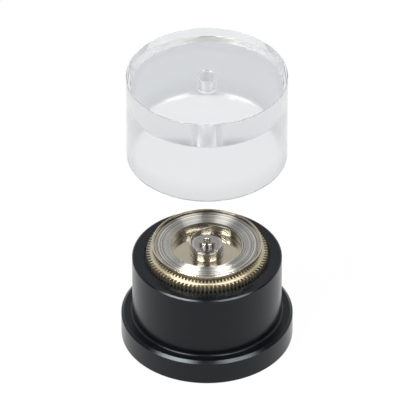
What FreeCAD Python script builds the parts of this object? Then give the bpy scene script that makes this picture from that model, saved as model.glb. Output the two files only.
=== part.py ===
import FreeCAD, Part
import math
import os
from FreeCAD import Vector

# Hand press for closing a watch mainspring barrel, in millimetres.
# Origin: centre of the base's underside. +Z is the common axis of base, barrel, arbor and cap.

# Base: a flange, an upper cylinder that guides the cap, and a nest for the barrel.
FLANGE_RADIUS = 12.24
FLANGE_HEIGHT = 3.82
FLANGE_BEVEL_WIDTH = 0.42
FLANGE_BEVEL_HEIGHT = 0.34
BASE_HEIGHT = 13.6
GUIDE_RADIUS = 10.65
GUIDE_BEVEL_WIDTH = 0.2
GUIDE_BEVEL_HEIGHT = 0.16
FOOT_FILLET = 0.28
UNDERSIDE_BREAK = 0.12
NEST_RADIUS = 8.9
NEST_DEPTH = 0.2
NEST_EDGE_BREAK = 0.08
POCKET_RADIUS = 2.2
POCKET_DEPTH = 2.0
KNOCKOUT_RADIUS = 1.6

# Barrel drum: a toothed plate with a thin wall, open at the top where the cover snaps in.
TOOTH_COUNT = 90
TOOTH_TIP_RADIUS = 8.63
TOOTH_ROOT_RADIUS = 8.15
TOOTH_TIP_SHARE = 0.22
TOOTH_ROOT_SHARE = 0.50
NEST_CLEARANCE = 0.03
GEAR_HEIGHT = 1.04
DRUM_RADIUS = 7.85
DRUM_INNER_RADIUS = 7.56
DRUM_HEIGHT = 2.47
DRUM_FLOOR = 0.68
WALL_FILLET = 0.1
RIM_BREAK = 0.07
COVER_SEAT_RADIUS = 7.66
COVER_SEAT_DEPTH = 0.38
BOSS_RADIUS = 1.75
BOSS_HEIGHT = 0.1
UNDERCUT_RADIUS = 6.4
UNDERCUT_INNER_RADIUS = 2.0
UNDERCUT_DEPTH = 0.12
RUNNING_CLEARANCE = 0.03

# Arbor: lower pivot, lower shoulder, core with its hook, upper shoulder and upper pivot.
CORE_RADIUS = 2.16
CORE_HEIGHT = 1.5
CORE_BEVEL_WIDTH = 0.3
CORE_BEVEL_HEIGHT = 0.12
CORE_FLOAT = 0.04
SHOULDER_RADIUS = 1.17
SHOULDER_HEIGHT = 0.61
PIVOT_RADIUS = 0.53
PIVOT_HEIGHT = 0.63
ARBOR_BREAK = 0.06
LOWER_SHOULDER_RADIUS = 1.1
LOWER_SHOULDER_LENGTH = 1.3
LOWER_PIVOT_RADIUS = 0.53
LOWER_PIVOT_LENGTH = 0.75
HOOK_WIDTH = 0.5
HOOK_REACH = 0.13

# Mainspring: a flat strip coiled against the wall, crossing to the core in one half turn.
STRIP_THICKNESS = 0.155
STRIP_HEIGHT = 1.36
STRIP_FLOOR_GAP = 0.04
STRIP_WALL_GAP = 0.02
STRIP_CORE_GAP = 0.02
COIL_PITCH = 0.18
COIL_TURNS = 13
INNER_COIL_SLACK = 0.06
CROSSING_ANGLE = 25.0
OUTER_END_ANGLE = -11.0
CORE_WRAP_ANGLE = 300.0
EYE_SETBACK = 7.0
EYE_RADIUS = 0.3

# Drum hook: a round pin riveted flush in the wall, standing in the outer eye of the mainspring.
DRUM_HOOK_RADIUS = 0.24
DRUM_HOOK_TIP_RADIUS = 7.39

# Cap: a cup of clear acrylic, shown lifted off the base.
CAP_RADIUS = 11.35
CAP_HEIGHT = 13.55
CAP_BORE_RADIUS = 10.72
CAP_PLATE_THICKNESS = 4.2
CAP_CORNER_BREAK = 0.06
CAP_EDGE_BREAK = 0.08
CAP_FOOT_BREAK = 0.14
CAP_HOLE_RADIUS = 1.27
CAP_HOLE_BREAK = 0.08
CAP_HOLE_SINK = 0.2
CAP_LIFTED_Z = 31.81

NEST_FLOOR_Z = BASE_HEIGHT - NEST_DEPTH
DRUM_Z = NEST_FLOOR_Z + NEST_CLEARANCE
FLOOR_TOP_Z = DRUM_Z + DRUM_FLOOR
CORE_Z = FLOOR_TOP_Z + BOSS_HEIGHT + CORE_FLOAT
STRIP_Z = FLOOR_TOP_Z + STRIP_FLOOR_GAP
HOOK_MIDDLE_Z = STRIP_Z + STRIP_HEIGHT / 2


def polar(radius, degrees, z=0.0):
    angle = math.radians(degrees)
    return Vector(radius * math.cos(angle), radius * math.sin(angle), z)


def turned(start, steps):
    """Revolve a closed outline in the (radius, height) plane.

    A step is a line's end, or an arc's middle and end.
    """
    edges = []
    here = Vector(start[0], 0, start[1])
    for step in steps:
        if len(step) == 2:
            there = Vector(step[0], 0, step[1])
            edges.append(Part.LineSegment(here, there).toShape())
        else:
            middle = Vector(step[0], 0, step[1])
            there = Vector(step[2], 0, step[3])
            edges.append(Part.Arc(here, middle, there).toShape())
        here = there
    edges.append(Part.LineSegment(here, Vector(start[0], 0, start[1])).toShape())
    face = Part.Face(Part.Wire(edges))
    return face.revolve(Vector(0, 0, 0), Vector(0, 0, 1), 360)


def quarter_arc(centre_r, centre_z, radius, middle_degrees, end_degrees):
    """One arc step for turned(), about a centre in the (radius, height) plane."""
    middle = math.radians(middle_degrees)
    end = math.radians(end_degrees)
    return (
        centre_r + radius * math.cos(middle),
        centre_z + radius * math.sin(middle),
        centre_r + radius * math.cos(end),
        centre_z + radius * math.sin(end),
    )


def base_body():
    bevel_z = FLANGE_HEIGHT - FLANGE_BEVEL_HEIGHT
    return turned(
        (KNOCKOUT_RADIUS + UNDERSIDE_BREAK, 0),
        [
            (FLANGE_RADIUS - UNDERSIDE_BREAK, 0),
            (FLANGE_RADIUS, UNDERSIDE_BREAK),
            (FLANGE_RADIUS, bevel_z),
            (FLANGE_RADIUS - FLANGE_BEVEL_WIDTH, FLANGE_HEIGHT),
            (GUIDE_RADIUS + FOOT_FILLET, FLANGE_HEIGHT),
            quarter_arc(GUIDE_RADIUS + FOOT_FILLET, FLANGE_HEIGHT + FOOT_FILLET, FOOT_FILLET, 225, 180),
            (GUIDE_RADIUS, BASE_HEIGHT - GUIDE_BEVEL_HEIGHT),
            (GUIDE_RADIUS - GUIDE_BEVEL_WIDTH, BASE_HEIGHT),
            (NEST_RADIUS + NEST_EDGE_BREAK, BASE_HEIGHT),
            (NEST_RADIUS, BASE_HEIGHT - NEST_EDGE_BREAK),
            (NEST_RADIUS, NEST_FLOOR_Z),
            (POCKET_RADIUS, NEST_FLOOR_Z),
            (POCKET_RADIUS, NEST_FLOOR_Z - POCKET_DEPTH),
            (KNOCKOUT_RADIUS, NEST_FLOOR_Z - POCKET_DEPTH),
            (KNOCKOUT_RADIUS, UNDERSIDE_BREAK),
        ],
    )


def toothed_ring():
    """The plate's outline: straight-flanked teeth with narrow rounded tips, and arcs along the roots."""
    pitch = 360 / TOOTH_COUNT
    edges = []
    for tooth in range(TOOTH_COUNT):
        middle = tooth * pitch
        root_start = polar(TOOTH_ROOT_RADIUS, middle - TOOTH_ROOT_SHARE * pitch / 2, DRUM_Z)
        tip_start = polar(TOOTH_TIP_RADIUS, middle - TOOTH_TIP_SHARE * pitch / 2, DRUM_Z)
        tip_end = polar(TOOTH_TIP_RADIUS, middle + TOOTH_TIP_SHARE * pitch / 2, DRUM_Z)
        root_end = polar(TOOTH_ROOT_RADIUS, middle + TOOTH_ROOT_SHARE * pitch / 2, DRUM_Z)
        root_middle = polar(TOOTH_ROOT_RADIUS, middle + pitch / 2, DRUM_Z)
        next_root = polar(TOOTH_ROOT_RADIUS, middle + (1 - TOOTH_ROOT_SHARE / 2) * pitch, DRUM_Z)
        edges.append(Part.LineSegment(root_start, tip_start).toShape())
        edges.append(Part.LineSegment(tip_start, tip_end).toShape())
        edges.append(Part.LineSegment(tip_end, root_end).toShape())
        edges.append(Part.Arc(root_end, root_middle, next_root).toShape())
    plate = Part.Face(Part.Wire(edges)).extrude(Vector(0, 0, GEAR_HEIGHT))
    return plate.cut(Part.makeCylinder(DRUM_INNER_RADIUS, GEAR_HEIGHT, Vector(0, 0, DRUM_Z)))


def drum_hook_hole():
    start = polar(DRUM_HOOK_TIP_RADIUS, outer_eye_angle(), HOOK_MIDDLE_Z)
    length = DRUM_RADIUS - DRUM_HOOK_TIP_RADIUS
    return Part.makeCylinder(DRUM_HOOK_RADIUS, length + 1, start, polar(1, outer_eye_angle()))


def barrel_drum():
    rim_z = DRUM_Z + DRUM_HEIGHT
    gear_z = DRUM_Z + GEAR_HEIGHT
    seat_z = rim_z - COVER_SEAT_DEPTH
    bearing_radius = LOWER_SHOULDER_RADIUS + RUNNING_CLEARANCE
    drum = turned(
        (bearing_radius, DRUM_Z),
        [
            (UNDERCUT_INNER_RADIUS, DRUM_Z),
            (UNDERCUT_INNER_RADIUS, DRUM_Z + UNDERCUT_DEPTH),
            (UNDERCUT_RADIUS, DRUM_Z + UNDERCUT_DEPTH),
            (UNDERCUT_RADIUS, DRUM_Z),
            (DRUM_RADIUS + WALL_FILLET, DRUM_Z),
            (DRUM_RADIUS + WALL_FILLET, gear_z),
            quarter_arc(DRUM_RADIUS + WALL_FILLET, gear_z + WALL_FILLET, WALL_FILLET, 225, 180),
            (DRUM_RADIUS, rim_z - RIM_BREAK),
            (DRUM_RADIUS - RIM_BREAK, rim_z),
            (COVER_SEAT_RADIUS, rim_z),
            (COVER_SEAT_RADIUS, seat_z),
            (DRUM_INNER_RADIUS, seat_z),
            (DRUM_INNER_RADIUS, FLOOR_TOP_Z),
            (BOSS_RADIUS, FLOOR_TOP_Z),
            (BOSS_RADIUS, FLOOR_TOP_Z + BOSS_HEIGHT),
            (bearing_radius, FLOOR_TOP_Z + BOSS_HEIGHT),
        ],
    )
    return drum.fuse(toothed_ring()).removeSplitter().cut(drum_hook_hole())


def strip_arcs():
    """Centre line of the strip from its outer end inwards, as (centre, radius, start degrees, end degrees).

    Every arc but the first and last is a half circle that ends on one line through the axis, and so meets
    its neighbours without a kink.
    """
    outer = DRUM_INNER_RADIUS - STRIP_WALL_GAP - STRIP_THICKNESS / 2
    core = CORE_RADIUS + STRIP_CORE_GAP + STRIP_THICKNESS / 2
    reaches = [outer - half * COIL_PITCH / 2 for half in range(2 * COIL_TURNS + 1)]
    reaches[-1] -= INNER_COIL_SLACK
    reaches.append(core)
    arcs = [(Vector(0, 0, STRIP_Z), outer, OUTER_END_ANGLE, CROSSING_ANGLE)]
    for half, (reach, next_reach) in enumerate(zip(reaches, reaches[1:])):
        start = CROSSING_ANGLE + 180 * half
        centre = polar((reach - next_reach) / 2, start, STRIP_Z)
        arcs.append((centre, (reach + next_reach) / 2, start, start + 180))
    core_start = CROSSING_ANGLE + 180 * (len(reaches) - 1)
    arcs.append((Vector(0, 0, STRIP_Z), core, core_start, core_start + CORE_WRAP_ANGLE))
    return arcs


def outer_eye_angle():
    return OUTER_END_ANGLE + EYE_SETBACK


def inner_eye_angle():
    return strip_arcs()[-1][3] - 2 * EYE_SETBACK


def arc_edge(centre, radius, start, end):
    points = [centre + polar(radius, angle) for angle in (start, (start + end) / 2, end)]
    return Part.Arc(*points).toShape()


def eye_bar(radius, line_radius, angle):
    """A round bar through the strip where its centre line has this radius, which cuts an eye."""
    half = STRIP_THICKNESS / 2 + STRIP_CORE_GAP
    start = polar(line_radius - half, angle, HOOK_MIDDLE_Z)
    return Part.makeCylinder(radius, 2 * half, start, polar(1, angle))


def mainspring():
    outer_side = []
    inner_side = []
    for centre, radius, start, end in strip_arcs():
        outer_side.append(arc_edge(centre, radius + STRIP_THICKNESS / 2, start, end))
        inner_side.append(arc_edge(centre, radius - STRIP_THICKNESS / 2, start, end))
    first_arc = strip_arcs()[0]
    last_arc = strip_arcs()[-1]
    ends = []
    for centre, radius, angle in (first_arc[:3], (*last_arc[:2], last_arc[3])):
        inside = centre + polar(radius - STRIP_THICKNESS / 2, angle)
        outside = centre + polar(radius + STRIP_THICKNESS / 2, angle)
        ends.append(Part.LineSegment(inside, outside).toShape())
    outline = Part.Wire(Part.__sortEdges__(outer_side + inner_side + ends))
    strip = Part.Face(outline).extrude(Vector(0, 0, STRIP_HEIGHT))
    outer_eye = eye_bar(EYE_RADIUS, first_arc[1], outer_eye_angle())
    inner_eye = eye_bar(EYE_RADIUS + RUNNING_CLEARANCE, last_arc[1], inner_eye_angle())
    return strip.cut(outer_eye).cut(inner_eye)


def drum_hook():
    start = polar(DRUM_HOOK_TIP_RADIUS, outer_eye_angle(), HOOK_MIDDLE_Z)
    pin = Part.makeCylinder(DRUM_HOOK_RADIUS, 1, start, polar(1, outer_eye_angle()))
    return pin.common(Part.makeCylinder(DRUM_RADIUS, DRUM_HEIGHT, Vector(0, 0, DRUM_Z)))


def barrel_arbor():
    top_z = CORE_Z + CORE_HEIGHT
    shoulder_z = top_z + SHOULDER_HEIGHT
    pivot_z = shoulder_z + PIVOT_HEIGHT
    lower_z = CORE_Z - LOWER_SHOULDER_LENGTH
    foot_z = lower_z - LOWER_PIVOT_LENGTH
    body = turned(
        (0, foot_z),
        [
            (LOWER_PIVOT_RADIUS - ARBOR_BREAK, foot_z),
            (LOWER_PIVOT_RADIUS, foot_z + ARBOR_BREAK),
            (LOWER_PIVOT_RADIUS, lower_z),
            (LOWER_SHOULDER_RADIUS, lower_z),
            (LOWER_SHOULDER_RADIUS, CORE_Z),
            (CORE_RADIUS, CORE_Z),
            (CORE_RADIUS, top_z - CORE_BEVEL_HEIGHT),
            (CORE_RADIUS - CORE_BEVEL_WIDTH, top_z),
            (SHOULDER_RADIUS, top_z),
            (SHOULDER_RADIUS, shoulder_z - ARBOR_BREAK),
            (SHOULDER_RADIUS - ARBOR_BREAK, shoulder_z),
            (PIVOT_RADIUS, shoulder_z),
            (PIVOT_RADIUS, pivot_z - ARBOR_BREAK),
            (PIVOT_RADIUS - ARBOR_BREAK, pivot_z),
            (0, pivot_z),
        ],
    )
    start = polar(CORE_RADIUS / 2, inner_eye_angle(), HOOK_MIDDLE_Z)
    hook = Part.makeCylinder(HOOK_WIDTH / 2, CORE_RADIUS / 2 + HOOK_REACH, start, polar(1, inner_eye_angle()))
    return body.fuse(hook).removeSplitter()


def press_cap():
    top_z = CAP_LIFTED_Z + CAP_HEIGHT
    ceiling_z = top_z - CAP_PLATE_THICKNESS
    return turned(
        (CAP_BORE_RADIUS + CAP_FOOT_BREAK / 2, CAP_LIFTED_Z),
        [
            (CAP_RADIUS - CAP_FOOT_BREAK, CAP_LIFTED_Z),
            (CAP_RADIUS, CAP_LIFTED_Z + CAP_FOOT_BREAK),
            (CAP_RADIUS, top_z - CAP_EDGE_BREAK),
            (CAP_RADIUS - CAP_EDGE_BREAK, top_z),
            (CAP_HOLE_RADIUS + CAP_HOLE_BREAK, top_z),
            (CAP_HOLE_RADIUS, top_z - CAP_HOLE_BREAK),
            (CAP_HOLE_RADIUS, ceiling_z + CAP_HOLE_SINK),
            (CAP_HOLE_RADIUS + CAP_HOLE_SINK, ceiling_z),
            (CAP_BORE_RADIUS - CAP_CORNER_BREAK, ceiling_z),
            (CAP_BORE_RADIUS, ceiling_z - CAP_CORNER_BREAK),
            (CAP_BORE_RADIUS, CAP_LIFTED_Z + CAP_FOOT_BREAK / 2),
        ],
    )


PIECES = {
    "base_body": base_body,
    "barrel_drum": barrel_drum,
    "drum_hook": drum_hook,
    "mainspring": mainspring,
    "barrel_arbor": barrel_arbor,
    "press_cap": press_cap,
}

os.makedirs("parts", exist_ok=True)
for name, make in PIECES.items():
    shape = make()
    box = shape.optimalBoundingBox(False, False)
    print(f"{name}: valid {shape.isValid()}, solids {len(shape.Solids)}, volume {shape.Volume:.3f} mm3")
    print(f"    radius {box.XMax:.2f}, level {box.ZMin:.2f} to {box.ZMax:.2f}")
    shape.exportStep(f"parts/{name}.step")
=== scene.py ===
import math

import bmesh
import bpy
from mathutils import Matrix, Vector


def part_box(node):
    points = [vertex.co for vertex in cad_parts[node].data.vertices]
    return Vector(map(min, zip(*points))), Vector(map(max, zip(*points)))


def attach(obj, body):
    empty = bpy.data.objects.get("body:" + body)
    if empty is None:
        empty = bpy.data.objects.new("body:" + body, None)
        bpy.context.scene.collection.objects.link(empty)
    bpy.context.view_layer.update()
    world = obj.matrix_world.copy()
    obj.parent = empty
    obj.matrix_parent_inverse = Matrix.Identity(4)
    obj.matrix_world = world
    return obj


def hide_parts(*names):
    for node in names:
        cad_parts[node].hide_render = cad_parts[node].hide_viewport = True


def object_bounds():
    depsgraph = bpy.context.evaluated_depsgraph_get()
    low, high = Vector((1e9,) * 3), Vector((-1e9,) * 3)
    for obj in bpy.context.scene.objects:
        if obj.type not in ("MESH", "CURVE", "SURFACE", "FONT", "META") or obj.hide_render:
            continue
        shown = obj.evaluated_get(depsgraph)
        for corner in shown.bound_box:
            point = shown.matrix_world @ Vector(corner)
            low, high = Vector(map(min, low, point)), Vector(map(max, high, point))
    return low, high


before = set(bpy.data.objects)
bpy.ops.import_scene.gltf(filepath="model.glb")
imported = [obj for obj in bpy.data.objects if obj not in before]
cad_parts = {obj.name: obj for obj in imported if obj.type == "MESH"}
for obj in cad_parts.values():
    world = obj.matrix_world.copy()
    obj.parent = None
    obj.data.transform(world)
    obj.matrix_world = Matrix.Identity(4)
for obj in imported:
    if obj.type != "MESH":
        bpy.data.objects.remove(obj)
cad_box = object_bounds()
lowest, highest = cad_box
centre = (Vector(lowest) + Vector(highest)) / 2
height = highest[2] - lowest[2]

MM = 0.001
LATHE_STEPS = 288

CAMERA_ELEVATION = math.radians(37.6)
CAMERA_DISTANCE = 1.1865
CAMERA_LENS = 726
AIM_SIDE_SHIFT = 0.143 * MM
AIM_HEIGHT = 0.4863 * height

SOFTBOX_DISTANCE = 0.42
SOFTBOX_AIM = 0.3 * height
# Name, degrees from the front towards +X, degrees up, width, depth, radiance.
SOFTBOXES = (
    ("softbox_left", -54, 57, 0.22, 0.14, 25),
    ("softbox_right", 52, 57, 0.24, 0.13, 14.5),
)
LIGHT_BOUNCES = 32
WORLD_TINT = (0.97, 0.985, 1, 1)

FLOOR_REACH = 60
FLOOR_GAP = 0.02 * MM
FLOOR_COLOUR = (0.03, 0.03, 0.03, 1)
FLOOR_GLOW = 0.96

SHARP_ANGLE = math.radians(28)
ROUND_EDGE_STEPS = 4

# Mainspring strip, in millimetres and degrees, as the CAD coils it.
STRIP_THICKNESS = 0.155
STRIP_EDGE_RADIUS = 0.07
COIL_PITCH = 0.18
COIL_TURNS = 13
INNER_COIL_SLACK = 0.06
CROSSING_ANGLE = 25
OUTER_END_ANGLE = -11
CORE_WRAP_ANGLE = 300
CORE_RADIUS = 2.16
STRIP_CORE_GAP = 0.02
EYE_SETBACK = 7
EYE_RADIUS = 0.3
EYE_CUT_LENGTH = 0.2
EYE_CUT_SIDES = 32
STATION_STEP = 3

# Drum, in millimetres: the toothed plate's thickness, and a radius between the wall's two faces.
GEAR_HEIGHT = 1.04
WALL_MIDDLE = 7.7

# Cap, in millimetres. The edge margin keeps the wall and the top evenly shaded beside the round edge.
CAP_WALL = 0.63
CAP_PLATE = 4.2
CAP_EDGE_BREAK = 0.08
CAP_FOOT_BREAK = 0.14
CAP_HOLE_RADIUS = 1.27
CAP_HOLE_BREAK = 0.08
CAP_HOLE_SINK = 0.2
CAP_CORNER_BREAK = 0.06
CAP_EDGE_MARGIN = 0.02
# How far above its foot the cap's outer wall carries painted shade, which darkens it towards the foot.
CAP_FOOT_PAINTED_SHADE_HEIGHT = 3.5


# Camera, light and floor

def look_along(thing, direction):
    thing.rotation_euler = Vector(direction).to_track_quat("-Z", "Y").to_euler()


def make_camera():
    data = bpy.data.cameras.new("camera")
    data.lens = CAMERA_LENS
    data.sensor_width = 36
    camera = bpy.data.objects.new("camera", data)
    bpy.context.scene.collection.objects.link(camera)
    aim = Vector((centre.x + AIM_SIDE_SHIFT, centre.y, lowest[2] + AIM_HEIGHT))
    direction = Vector((0, math.cos(CAMERA_ELEVATION), -math.sin(CAMERA_ELEVATION)))
    camera.location = aim - direction * CAMERA_DISTANCE
    look_along(camera, direction)
    bpy.context.scene.camera = camera


def make_softbox(name, azimuth, elevation, width, depth, radiance):
    """A rectangular area light that faces the part, with a given radiance."""
    data = bpy.data.lights.new(name, "AREA")
    data.shape = "RECTANGLE"
    data.size = width
    data.size_y = depth
    data.energy = radiance * math.pi * width * depth
    light = bpy.data.objects.new(name, data)
    bpy.context.scene.collection.objects.link(light)
    across, up = math.radians(azimuth), math.radians(elevation)
    toward = Vector((math.sin(across) * math.cos(up), -math.cos(across) * math.cos(up), math.sin(up)))
    light.location = Vector((centre.x, centre.y, SOFTBOX_AIM)) + toward * SOFTBOX_DISTANCE
    look_along(light, -toward)


def make_world():
    """A pale room: white at the back and below the horizon, dimmer in front, and dark overhead."""
    world = bpy.data.worlds.new("studio")
    world.use_nodes = True
    bpy.context.scene.world = world
    nodes, links = world.node_tree.nodes, world.node_tree.links
    coordinates = nodes.new("ShaderNodeTexCoord")
    axes = nodes.new("ShaderNodeSeparateXYZ")
    links.new(coordinates.outputs["Generated"], axes.inputs[0])
    sideways, back, up = axes.outputs
    far_back = ramp(nodes, links, back, 0.15, 0.55, 0, 1)
    aside = ramp(nodes, links, combine(nodes, links, "ABSOLUTE", sideways, 0), 0.2, 0.6, 0, 0.65)
    upper = combine(nodes, links, "ADD", ramp(nodes, links, back, 0.2, 0.65, 0.06, 0.66),
                    combine(nodes, links, "MULTIPLY", far_back, aside))
    horizon = ramp(nodes, links, back, -0.8, 0.5, 0.4, 1.0)
    fade = nodes.new("ShaderNodeMapRange")
    fade.interpolation_type = "SMOOTHSTEP"
    fade.inputs["From Min"].default_value = 0.4
    fade.inputs["From Max"].default_value = 0.6
    links.new(horizon, fade.inputs["To Min"])
    links.new(upper, fade.inputs["To Max"])
    links.new(up, fade.inputs["Value"])
    below = ramp(nodes, links, up, -0.01, -0.005, 1, 0)
    background = nodes["Background"]
    background.inputs["Color"].default_value = WORLD_TINT
    links.new(combine(nodes, links, "MAXIMUM", fade.outputs[0], below), background.inputs["Strength"])


def make_floor():
    mesh = bpy.data.meshes.new("floor")
    level = lowest[2] - FLOOR_GAP
    sides = ((-1, -1), (1, -1), (1, 1), (-1, 1))
    corners = [(x * FLOOR_REACH, y * FLOOR_REACH, level) for x, y in sides]
    mesh.from_pydata(corners, [], [(0, 1, 2, 3)])
    floor = bpy.data.objects.new("floor", mesh)
    bpy.context.scene.collection.objects.link(floor)
    material, shader = new_material("floor_white")[:2]
    shader.inputs["Base Color"].default_value = FLOOR_COLOUR
    shader.inputs["Roughness"].default_value = 1
    shader.inputs["Specular IOR Level"].default_value = 0
    shader.inputs["Emission Color"].default_value = (1, 1, 1, 1)
    shader.inputs["Emission Strength"].default_value = FLOOR_GLOW
    mesh.materials.append(material)


# Mesh helpers

def finish_mesh(mesh, name, material, body, slot, *nodes):
    """Smooth the mesh, give it a finish, and let it stand for CAD nodes on a body."""
    mesh.shade_smooth()
    mesh.set_sharp_from_angle(angle=SHARP_ANGLE)
    mesh.materials.append(material)
    piece = bpy.data.objects.new(name, mesh)
    bpy.context.scene.collection.objects.link(piece)
    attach(piece, body)
    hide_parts(*nodes)


def lathe(name, outline):
    """Revolve a closed outline of (radius, height) points, in millimetres, about the common axis."""
    mesh = bpy.data.meshes.new(name)
    points, faces = [], []
    count = len(outline)
    for step in range(LATHE_STEPS):
        turn = 2 * math.pi * step / LATHE_STEPS
        points += [(r * math.cos(turn) * MM, r * math.sin(turn) * MM, z * MM) for r, z in outline]
        here, there = step * count, (step + 1) % LATHE_STEPS * count
        for index in range(count):
            after = (index + 1) % count
            faces.append((here + index, there + index, there + after, here + after))
    mesh.from_pydata(points, [], faces)
    facing_out(mesh)
    return mesh


def facing_out(mesh):
    """Turn every face's normal outwards."""
    shape = bmesh.new()
    shape.from_mesh(mesh)
    bmesh.ops.recalc_face_normals(shape, faces=shape.faces)
    shape.to_mesh(mesh)
    shape.free()


def quarter_round(centre_r, centre_z, radius, start):
    """Points of a quarter circle in an outline, from a start angle in degrees."""
    points = []
    for step in range(ROUND_EDGE_STEPS + 1):
        turn = math.radians(start + 90 * step / ROUND_EDGE_STEPS)
        points.append((centre_r + radius * math.cos(turn), centre_z + radius * math.sin(turn)))
    return points


def node_size(node):
    """A node's radius and its lowest and highest level, in millimetres."""
    low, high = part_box(node)
    return high[0] / MM, low[2] / MM, high[2] / MM


# Materials

def new_material(name):
    material = bpy.data.materials.new(name)
    material.use_nodes = True
    nodes, links = material.node_tree.nodes, material.node_tree.links
    shader = nodes["Principled BSDF"]
    return material, shader, nodes, links


def object_axes(nodes, links):
    """Object coordinates, the distance from the common axis, and the level, in metres."""
    place = nodes.new("ShaderNodeTexCoord").outputs["Object"]
    flat = nodes.new("ShaderNodeVectorMath")
    flat.operation = "MULTIPLY"
    flat.inputs[1].default_value = (1, 1, 0)
    links.new(place, flat.inputs[0])
    radius = nodes.new("ShaderNodeVectorMath")
    radius.operation = "LENGTH"
    links.new(flat.outputs[0], radius.inputs[0])
    axes = nodes.new("ShaderNodeSeparateXYZ")
    links.new(place, axes.inputs[0])
    return place, radius.outputs["Value"], axes.outputs["Z"]


def ramp(nodes, links, value, low, high, to_low, to_high):
    mapped = nodes.new("ShaderNodeMapRange")
    mapped.inputs["From Min"].default_value = low
    mapped.inputs["From Max"].default_value = high
    mapped.inputs["To Min"].default_value = to_low
    mapped.inputs["To Max"].default_value = to_high
    links.new(value, mapped.inputs["Value"])
    return mapped.outputs[0]


def spread(nodes, links, noise, low, high):
    """Stretch noise, most of which lies between 0.3 and 0.7, over a range."""
    return ramp(nodes, links, noise, 0.3, 0.7, low, high)


def combine(nodes, links, operation, first, second):
    """A maths node on two values, each a socket or a number."""
    node = nodes.new("ShaderNodeMath")
    node.operation = operation
    for socket, value in zip(node.inputs, (first, second)):
        if isinstance(value, (int, float)):
            socket.default_value = value
        else:
            links.new(value, socket)
    return node.outputs[0]


def turning_marks(nodes, links, radius, level, scale):
    """Noise that changes only along the turned outline, at so many cells per metre."""
    noise = nodes.new("ShaderNodeTexNoise")
    noise.noise_dimensions = "1D"
    noise.inputs["Scale"].default_value = scale
    noise.inputs["Detail"].default_value = 2
    links.new(combine(nodes, links, "ADD", radius, level), noise.inputs["W"])
    return noise.outputs["Fac"]


def speckle(nodes, links, place, scale):
    """Noise that changes in every direction, at so many cells per metre."""
    noise = nodes.new("ShaderNodeTexNoise")
    noise.inputs["Scale"].default_value = scale
    noise.inputs["Detail"].default_value = 4
    links.new(place, noise.inputs["Vector"])
    return noise.outputs["Fac"]


def colour_mix(nodes, links, factor, first, second):
    mix = nodes.new("ShaderNodeMix")
    mix.data_type = "RGBA"
    links.new(factor, mix.inputs["Factor"])
    mix.inputs["A"].default_value = (*first, 1)
    mix.inputs["B"].default_value = (*second, 1)
    return mix.outputs["Result"]


def bump(nodes, links, shader, value, depth, strength):
    node = nodes.new("ShaderNodeBump")
    node.inputs["Distance"].default_value = depth
    node.inputs["Strength"].default_value = strength
    links.new(value, node.inputs["Height"])
    links.new(node.outputs[0], shader.inputs["Normal"])


def grooved_around(nodes, links, shader, amount):
    """Brushed highlights of a surface with fine grooves running round the axis."""
    shader.inputs["Anisotropic"].default_value = amount
    shader.inputs["Anisotropic Rotation"].default_value = 0.25
    tangent = nodes.new("ShaderNodeTangent")
    tangent.direction_type = "RADIAL"
    tangent.axis = "Z"
    links.new(tangent.outputs[0], shader.inputs["Tangent"])


def satin_black():
    """The base: satin black with fine turning marks."""
    material, shader, nodes, links = new_material("satin_black")
    place, radius, level = object_axes(nodes, links)
    mottle = speckle(nodes, links, place, 900)
    links.new(colour_mix(nodes, links, mottle, (0.0016, 0.0022, 0.0028), (0.0038, 0.0046, 0.0056)),
              shader.inputs["Base Color"])
    links.new(spread(nodes, links, mottle, 0.2, 0.26), shader.inputs["Roughness"])
    shader.inputs["IOR"].default_value = 1.335
    shader.inputs["Specular Tint"].default_value = (0.88, 0.95, 1, 1)
    marks = turning_marks(nodes, links, radius, level, 5000)
    bump(nodes, links, shader, combine(nodes, links, "ADD", mottle, marks), 0.0012 * MM, 0.5)
    return material


def pale_gilt():
    """The drum: polished pale gilt, satin on the toothed rim and slightly so on the wall's outside."""
    material, shader, nodes, links = new_material("pale_gilt")
    place, radius, level = object_axes(nodes, links)
    tone = speckle(nodes, links, place, 600)
    links.new(colour_mix(nodes, links, tone, (0.54, 0.485, 0.37), (0.65, 0.59, 0.46)),
              shader.inputs["Base Color"])
    shader.inputs["Metallic"].default_value = 1
    gear_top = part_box("barrel_drum")[0][2] + GEAR_HEIGHT * MM
    on_gear = combine(nodes, links, "MULTIPLY",
                      ramp(nodes, links, level, gear_top + 0.08 * MM, gear_top + 0.14 * MM, 1, 0.27),
                      ramp(nodes, links, radius, (WALL_MIDDLE - 0.1) * MM, WALL_MIDDLE * MM, 0, 1))
    satin = combine(nodes, links, "MULTIPLY", on_gear, 0.29)
    links.new(combine(nodes, links, "ADD", satin, spread(nodes, links, tone, 0.09, 0.13)),
              shader.inputs["Roughness"])
    bump(nodes, links, shader, turning_marks(nodes, links, radius, level, 6000), 0.0004 * MM, 0.3)
    return material


def spring_sides():
    """The strip's flat sides: rolled steel with faint marks along its length."""
    material, shader, nodes, links = new_material("mainspring_sides")
    radius, level = object_axes(nodes, links)[1:]
    marks = turning_marks(nodes, links, radius, level, 9000)
    links.new(colour_mix(nodes, links, marks, (0.44, 0.42, 0.385), (0.6, 0.58, 0.535)),
              shader.inputs["Base Color"])
    shader.inputs["Metallic"].default_value = 1
    links.new(spread(nodes, links, marks, 0.22, 0.25), shader.inputs["Roughness"])
    grooved_around(nodes, links, shader, 0.85)
    return material


def spring_edges():
    """The strip's rounded edges: ground along the coils, some coils lighter than others."""
    material, shader, nodes, links = new_material("mainspring_edges")
    radius, level = object_axes(nodes, links)[1:]
    rings = turning_marks(nodes, links, radius, level, 3600)
    coil = ramp(nodes, links, rings, 0.34, 0.66, 0, 1)
    links.new(colour_mix(nodes, links, coil, (0.29, 0.275, 0.25), (0.82, 0.8, 0.75)),
              shader.inputs["Base Color"])
    shader.inputs["Metallic"].default_value = 1
    links.new(spread(nodes, links, rings, 0.3, 0.38), shader.inputs["Roughness"])
    grooved_around(nodes, links, shader, 0.98)
    return material


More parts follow.
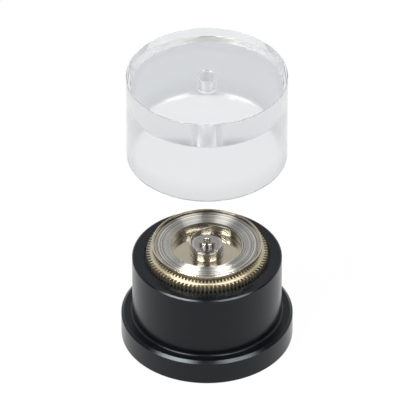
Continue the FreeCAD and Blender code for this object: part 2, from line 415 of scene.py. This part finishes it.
def arbor_steel():
    """The arbor and the drum's hook: turned steel."""
    material, shader, nodes, links = new_material("arbor_steel")
    radius, level = object_axes(nodes, links)[1:]
    rings = turning_marks(nodes, links, radius, level, 7000)
    links.new(colour_mix(nodes, links, rings, (0.32, 0.305, 0.28), (0.485, 0.465, 0.43)),
              shader.inputs["Base Color"])
    shader.inputs["Metallic"].default_value = 1
    links.new(spread(nodes, links, rings, 0.16, 0.22), shader.inputs["Roughness"])
    grooved_around(nodes, links, shader, 0.8)
    return material


def clear_acrylic():
    """The cap: polished outside, finely turned within, and satin in the drilled hole.

    The grey is partly the acrylic's own tint and partly painted shade. The outer wall is greyer than
    the rest, most of all at its foot, where the painted shade is deepest, and the hole is the clearest.
    """
    material, shader, nodes, links = new_material("clear_acrylic")
    radius, level = object_axes(nodes, links)[1:]
    outer, bottom, top = node_size("press_cap")
    ceiling = (top - CAP_PLATE) * MM
    bore = (outer - CAP_WALL) * MM
    past_hole = (CAP_HOLE_RADIUS * MM * 1.01, CAP_HOLE_RADIUS * MM * 1.04)
    in_bore = ramp(nodes, links, radius, bore + 0.2 * MM, bore + 0.4 * MM, 1, 0)
    under_plate = ramp(nodes, links, level, ceiling + 0.1 * MM, ceiling + 0.3 * MM, 1, 0)
    bored = combine(nodes, links, "MULTIPLY", in_bore, under_plate)
    bore_gloss = ramp(nodes, links, radius, bore - 0.3 * MM, bore - 0.1 * MM, 0.09, 0.14)
    satin = combine(nodes, links, "MAXIMUM", combine(nodes, links, "MULTIPLY", bored, bore_gloss),
                    ramp(nodes, links, radius, *past_hole, 0.31, 0))
    links.new(combine(nodes, links, "ADD", satin, 0.02), shader.inputs["Roughness"])
    shader.inputs["Transmission Weight"].default_value = 1
    # Painted shade: the outer wall's colour greys more and more towards its foot.
    painted_shade_top = (bottom + CAP_FOOT_PAINTED_SHADE_HEIGHT) * MM
    wall_painted_shade = combine(nodes, links, "MULTIPLY",
                      ramp(nodes, links, radius, (outer - 0.1) * MM, (outer - 0.05) * MM, 0, 1),
                      ramp(nodes, links, level, bottom * MM, painted_shade_top, 0.9, 0.56))
    on_top = ramp(nodes, links, level, (top - 0.1) * MM, (top - 0.05) * MM, 0, 0.34)
    inside = ramp(nodes, links, radius, *past_hole, 0, 0.19)
    # Grey of each surface, from clear (0) to grey (1): partly the acrylic's tint, partly painted shade.
    grey_and_painted_shade = combine(nodes, links, "MAXIMUM", combine(nodes, links, "MAXIMUM", wall_painted_shade, on_top), inside)
    links.new(colour_mix(nodes, links, grey_and_painted_shade, (0.96, 0.972, 0.985), (0.5, 0.512, 0.525)),
              shader.inputs["Base Color"])
    shader.inputs["IOR"].default_value = 1.49
    return material


# Pieces

def press_cap():
    """The cap's outline as in the CAD, with a rounded top edge."""
    outer, bottom, top = node_size("press_cap")
    bore = outer - CAP_WALL
    ceiling = top - CAP_PLATE
    edge, foot, small, corner = CAP_EDGE_BREAK, CAP_FOOT_BREAK, CAP_HOLE_BREAK, CAP_CORNER_BREAK
    outline = [
        (bore + foot / 2, bottom),
        (outer - foot, bottom),
        (outer, bottom + foot),
        (outer, top - edge - CAP_EDGE_MARGIN),
        *quarter_round(outer - edge, top - edge, edge, 0),
        (outer - edge - CAP_EDGE_MARGIN, top),
        (CAP_HOLE_RADIUS + small, top),
        (CAP_HOLE_RADIUS, top - small),
        (CAP_HOLE_RADIUS, ceiling + CAP_HOLE_SINK),
        (CAP_HOLE_RADIUS + CAP_HOLE_SINK, ceiling),
        (bore - corner, ceiling),
        (bore, ceiling - corner),
        (bore, bottom + foot / 2),
    ]
    cup = lathe("cap_clear", outline)
    finish_mesh(cup, "cap_clear", clear_acrylic(), "cap", "cap_acrylic", "press_cap")


def strip_arcs(outer):
    """The strip's centre line as (x, y, radius, start, end): half circles but for its ends."""
    core = CORE_RADIUS + STRIP_CORE_GAP + STRIP_THICKNESS / 2
    reaches = [outer - half * COIL_PITCH / 2 for half in range(2 * COIL_TURNS + 1)]
    reaches[-1] -= INNER_COIL_SLACK
    reaches.append(core)
    arcs = [(0, 0, outer, OUTER_END_ANGLE, CROSSING_ANGLE)]
    for half, (reach, next_reach) in enumerate(zip(reaches, reaches[1:])):
        start = CROSSING_ANGLE + 180 * half
        offset, turn = (reach - next_reach) / 2, math.radians(start)
        centre_x, centre_y = offset * math.cos(turn), offset * math.sin(turn)
        arcs.append((centre_x, centre_y, (reach + next_reach) / 2, start, start + 180))
    core_start = CROSSING_ANGLE + 180 * (len(reaches) - 1)
    arcs.append((0, 0, core, core_start, core_start + CORE_WRAP_ANGLE))
    return arcs


def strip_section(bottom, top):
    """The strip's cross-section, with rolled round edges, as (offset from the centre line, level)."""
    half, round_off = STRIP_THICKNESS / 2, STRIP_EDGE_RADIUS
    section = []
    for offset, level, start in (
        (half - round_off, top - round_off, 0),
        (round_off - half, top - round_off, 90),
        (round_off - half, bottom + round_off, 180),
        (half - round_off, bottom + round_off, 270),
    ):
        section += quarter_round(offset, level, round_off, start)
    return section


def eye_cutter(name, angle, radius, level):
    """A short round bar across the strip, which cuts an eye."""
    cutter = bpy.data.meshes.new(name)
    shape = bmesh.new()
    bmesh.ops.create_cone(shape, cap_ends=True, segments=EYE_CUT_SIDES, radius1=EYE_RADIUS * MM,
                          radius2=EYE_RADIUS * MM, depth=EYE_CUT_LENGTH * MM)
    shape.to_mesh(cutter)
    shape.free()
    bar = bpy.data.objects.new(name, cutter)
    turn = math.radians(angle)
    direction = Vector((math.cos(turn), math.sin(turn), 0))
    bar.rotation_euler = direction.to_track_quat("Z", "Y").to_euler()
    bar.location = direction * radius * MM + Vector((0, 0, level * MM))
    bpy.context.scene.collection.objects.link(bar)
    return bar


def cut_away(piece, cutters):
    """The piece's mesh less its cutters, which are then removed."""
    for cutter in cutters:
        modifier = piece.modifiers.new("cut", "BOOLEAN")
        modifier.object = cutter
        modifier.solver = "EXACT"
    cut = piece.evaluated_get(bpy.context.evaluated_depsgraph_get())
    mesh = bpy.data.meshes.new_from_object(cut)
    piece.modifiers.clear()
    for cutter in cutters:
        bpy.data.objects.remove(cutter)
    return mesh


def strip_mesh(arcs, section):
    """Carry the strip's section along its centre line, a station every few degrees; close both ends."""
    count = len(section)
    points, faces = [], []
    for index, (x, y, radius, start, end) in enumerate(arcs):
        steps = max(2, round((end - start) / STATION_STEP))
        for step in range(0 if index == 0 else 1, steps + 1):
            turn = math.radians(start + (end - start) * step / steps)
            outward = Vector((math.cos(turn), math.sin(turn)))
            for offset, level in section:
                reach = radius + offset
                points.append(((x + reach * outward.x) * MM, (y + reach * outward.y) * MM, level * MM))
    stations = len(points) // count
    for station in range(stations - 1):
        here, there = station * count, (station + 1) * count
        for index in range(count):
            after = (index + 1) % count
            faces.append((here + index, here + after, there + after, there + index))
    faces.append(tuple(range(count)))
    faces.append(tuple(reversed(range((stations - 1) * count, stations * count))))
    mesh = bpy.data.meshes.new("mainspring_coiled")
    mesh.from_pydata(points, [], faces)
    facing_out(mesh)
    return mesh


def mainspring():
    reach, bottom, top = node_size("mainspring")
    arcs = strip_arcs(reach - STRIP_THICKNESS / 2)
    blank = bpy.data.objects.new("blank", strip_mesh(arcs, strip_section(bottom, top)))
    bpy.context.scene.collection.objects.link(blank)
    middle = (bottom + top) / 2
    outer_eye = eye_cutter("outer_eye", OUTER_END_ANGLE + EYE_SETBACK, arcs[0][2], middle)
    inner_eye = eye_cutter("inner_eye", arcs[-1][4] - 2 * EYE_SETBACK, arcs[-1][2], middle)
    coiled = cut_away(blank, [outer_eye, inner_eye])
    bpy.data.objects.remove(blank)
    finish_mesh(coiled, "mainspring_coiled", spring_sides(), "barrel", "spring_steel", "mainspring")
    coiled.materials.append(spring_edges())
    side_reach = ((top - bottom) / 2 - STRIP_EDGE_RADIUS) * MM
    for polygon in coiled.polygons:
        if abs(polygon.center.z - middle * MM) > side_reach:
            polygon.material_index = 1


def refinish(node, material):
    """Give a CAD node's own mesh a finish."""
    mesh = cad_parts[node].data
    mesh.materials.clear()
    mesh.materials.append(material)


bpy.context.scene.view_settings.view_transform = "Standard"
bpy.context.scene.cycles.max_bounces = LIGHT_BOUNCES
bpy.context.scene.cycles.glossy_bounces = LIGHT_BOUNCES
bpy.context.scene.cycles.transmission_bounces = LIGHT_BOUNCES
make_camera()
make_world()
make_floor()
for softbox in SOFTBOXES:
    make_softbox(*softbox)

refinish("base_body", satin_black())
refinish("barrel_drum", pale_gilt())
mainspring()
refinish("barrel_arbor", arbor_steel())
refinish("drum_hook", arbor_steel())
press_cap()
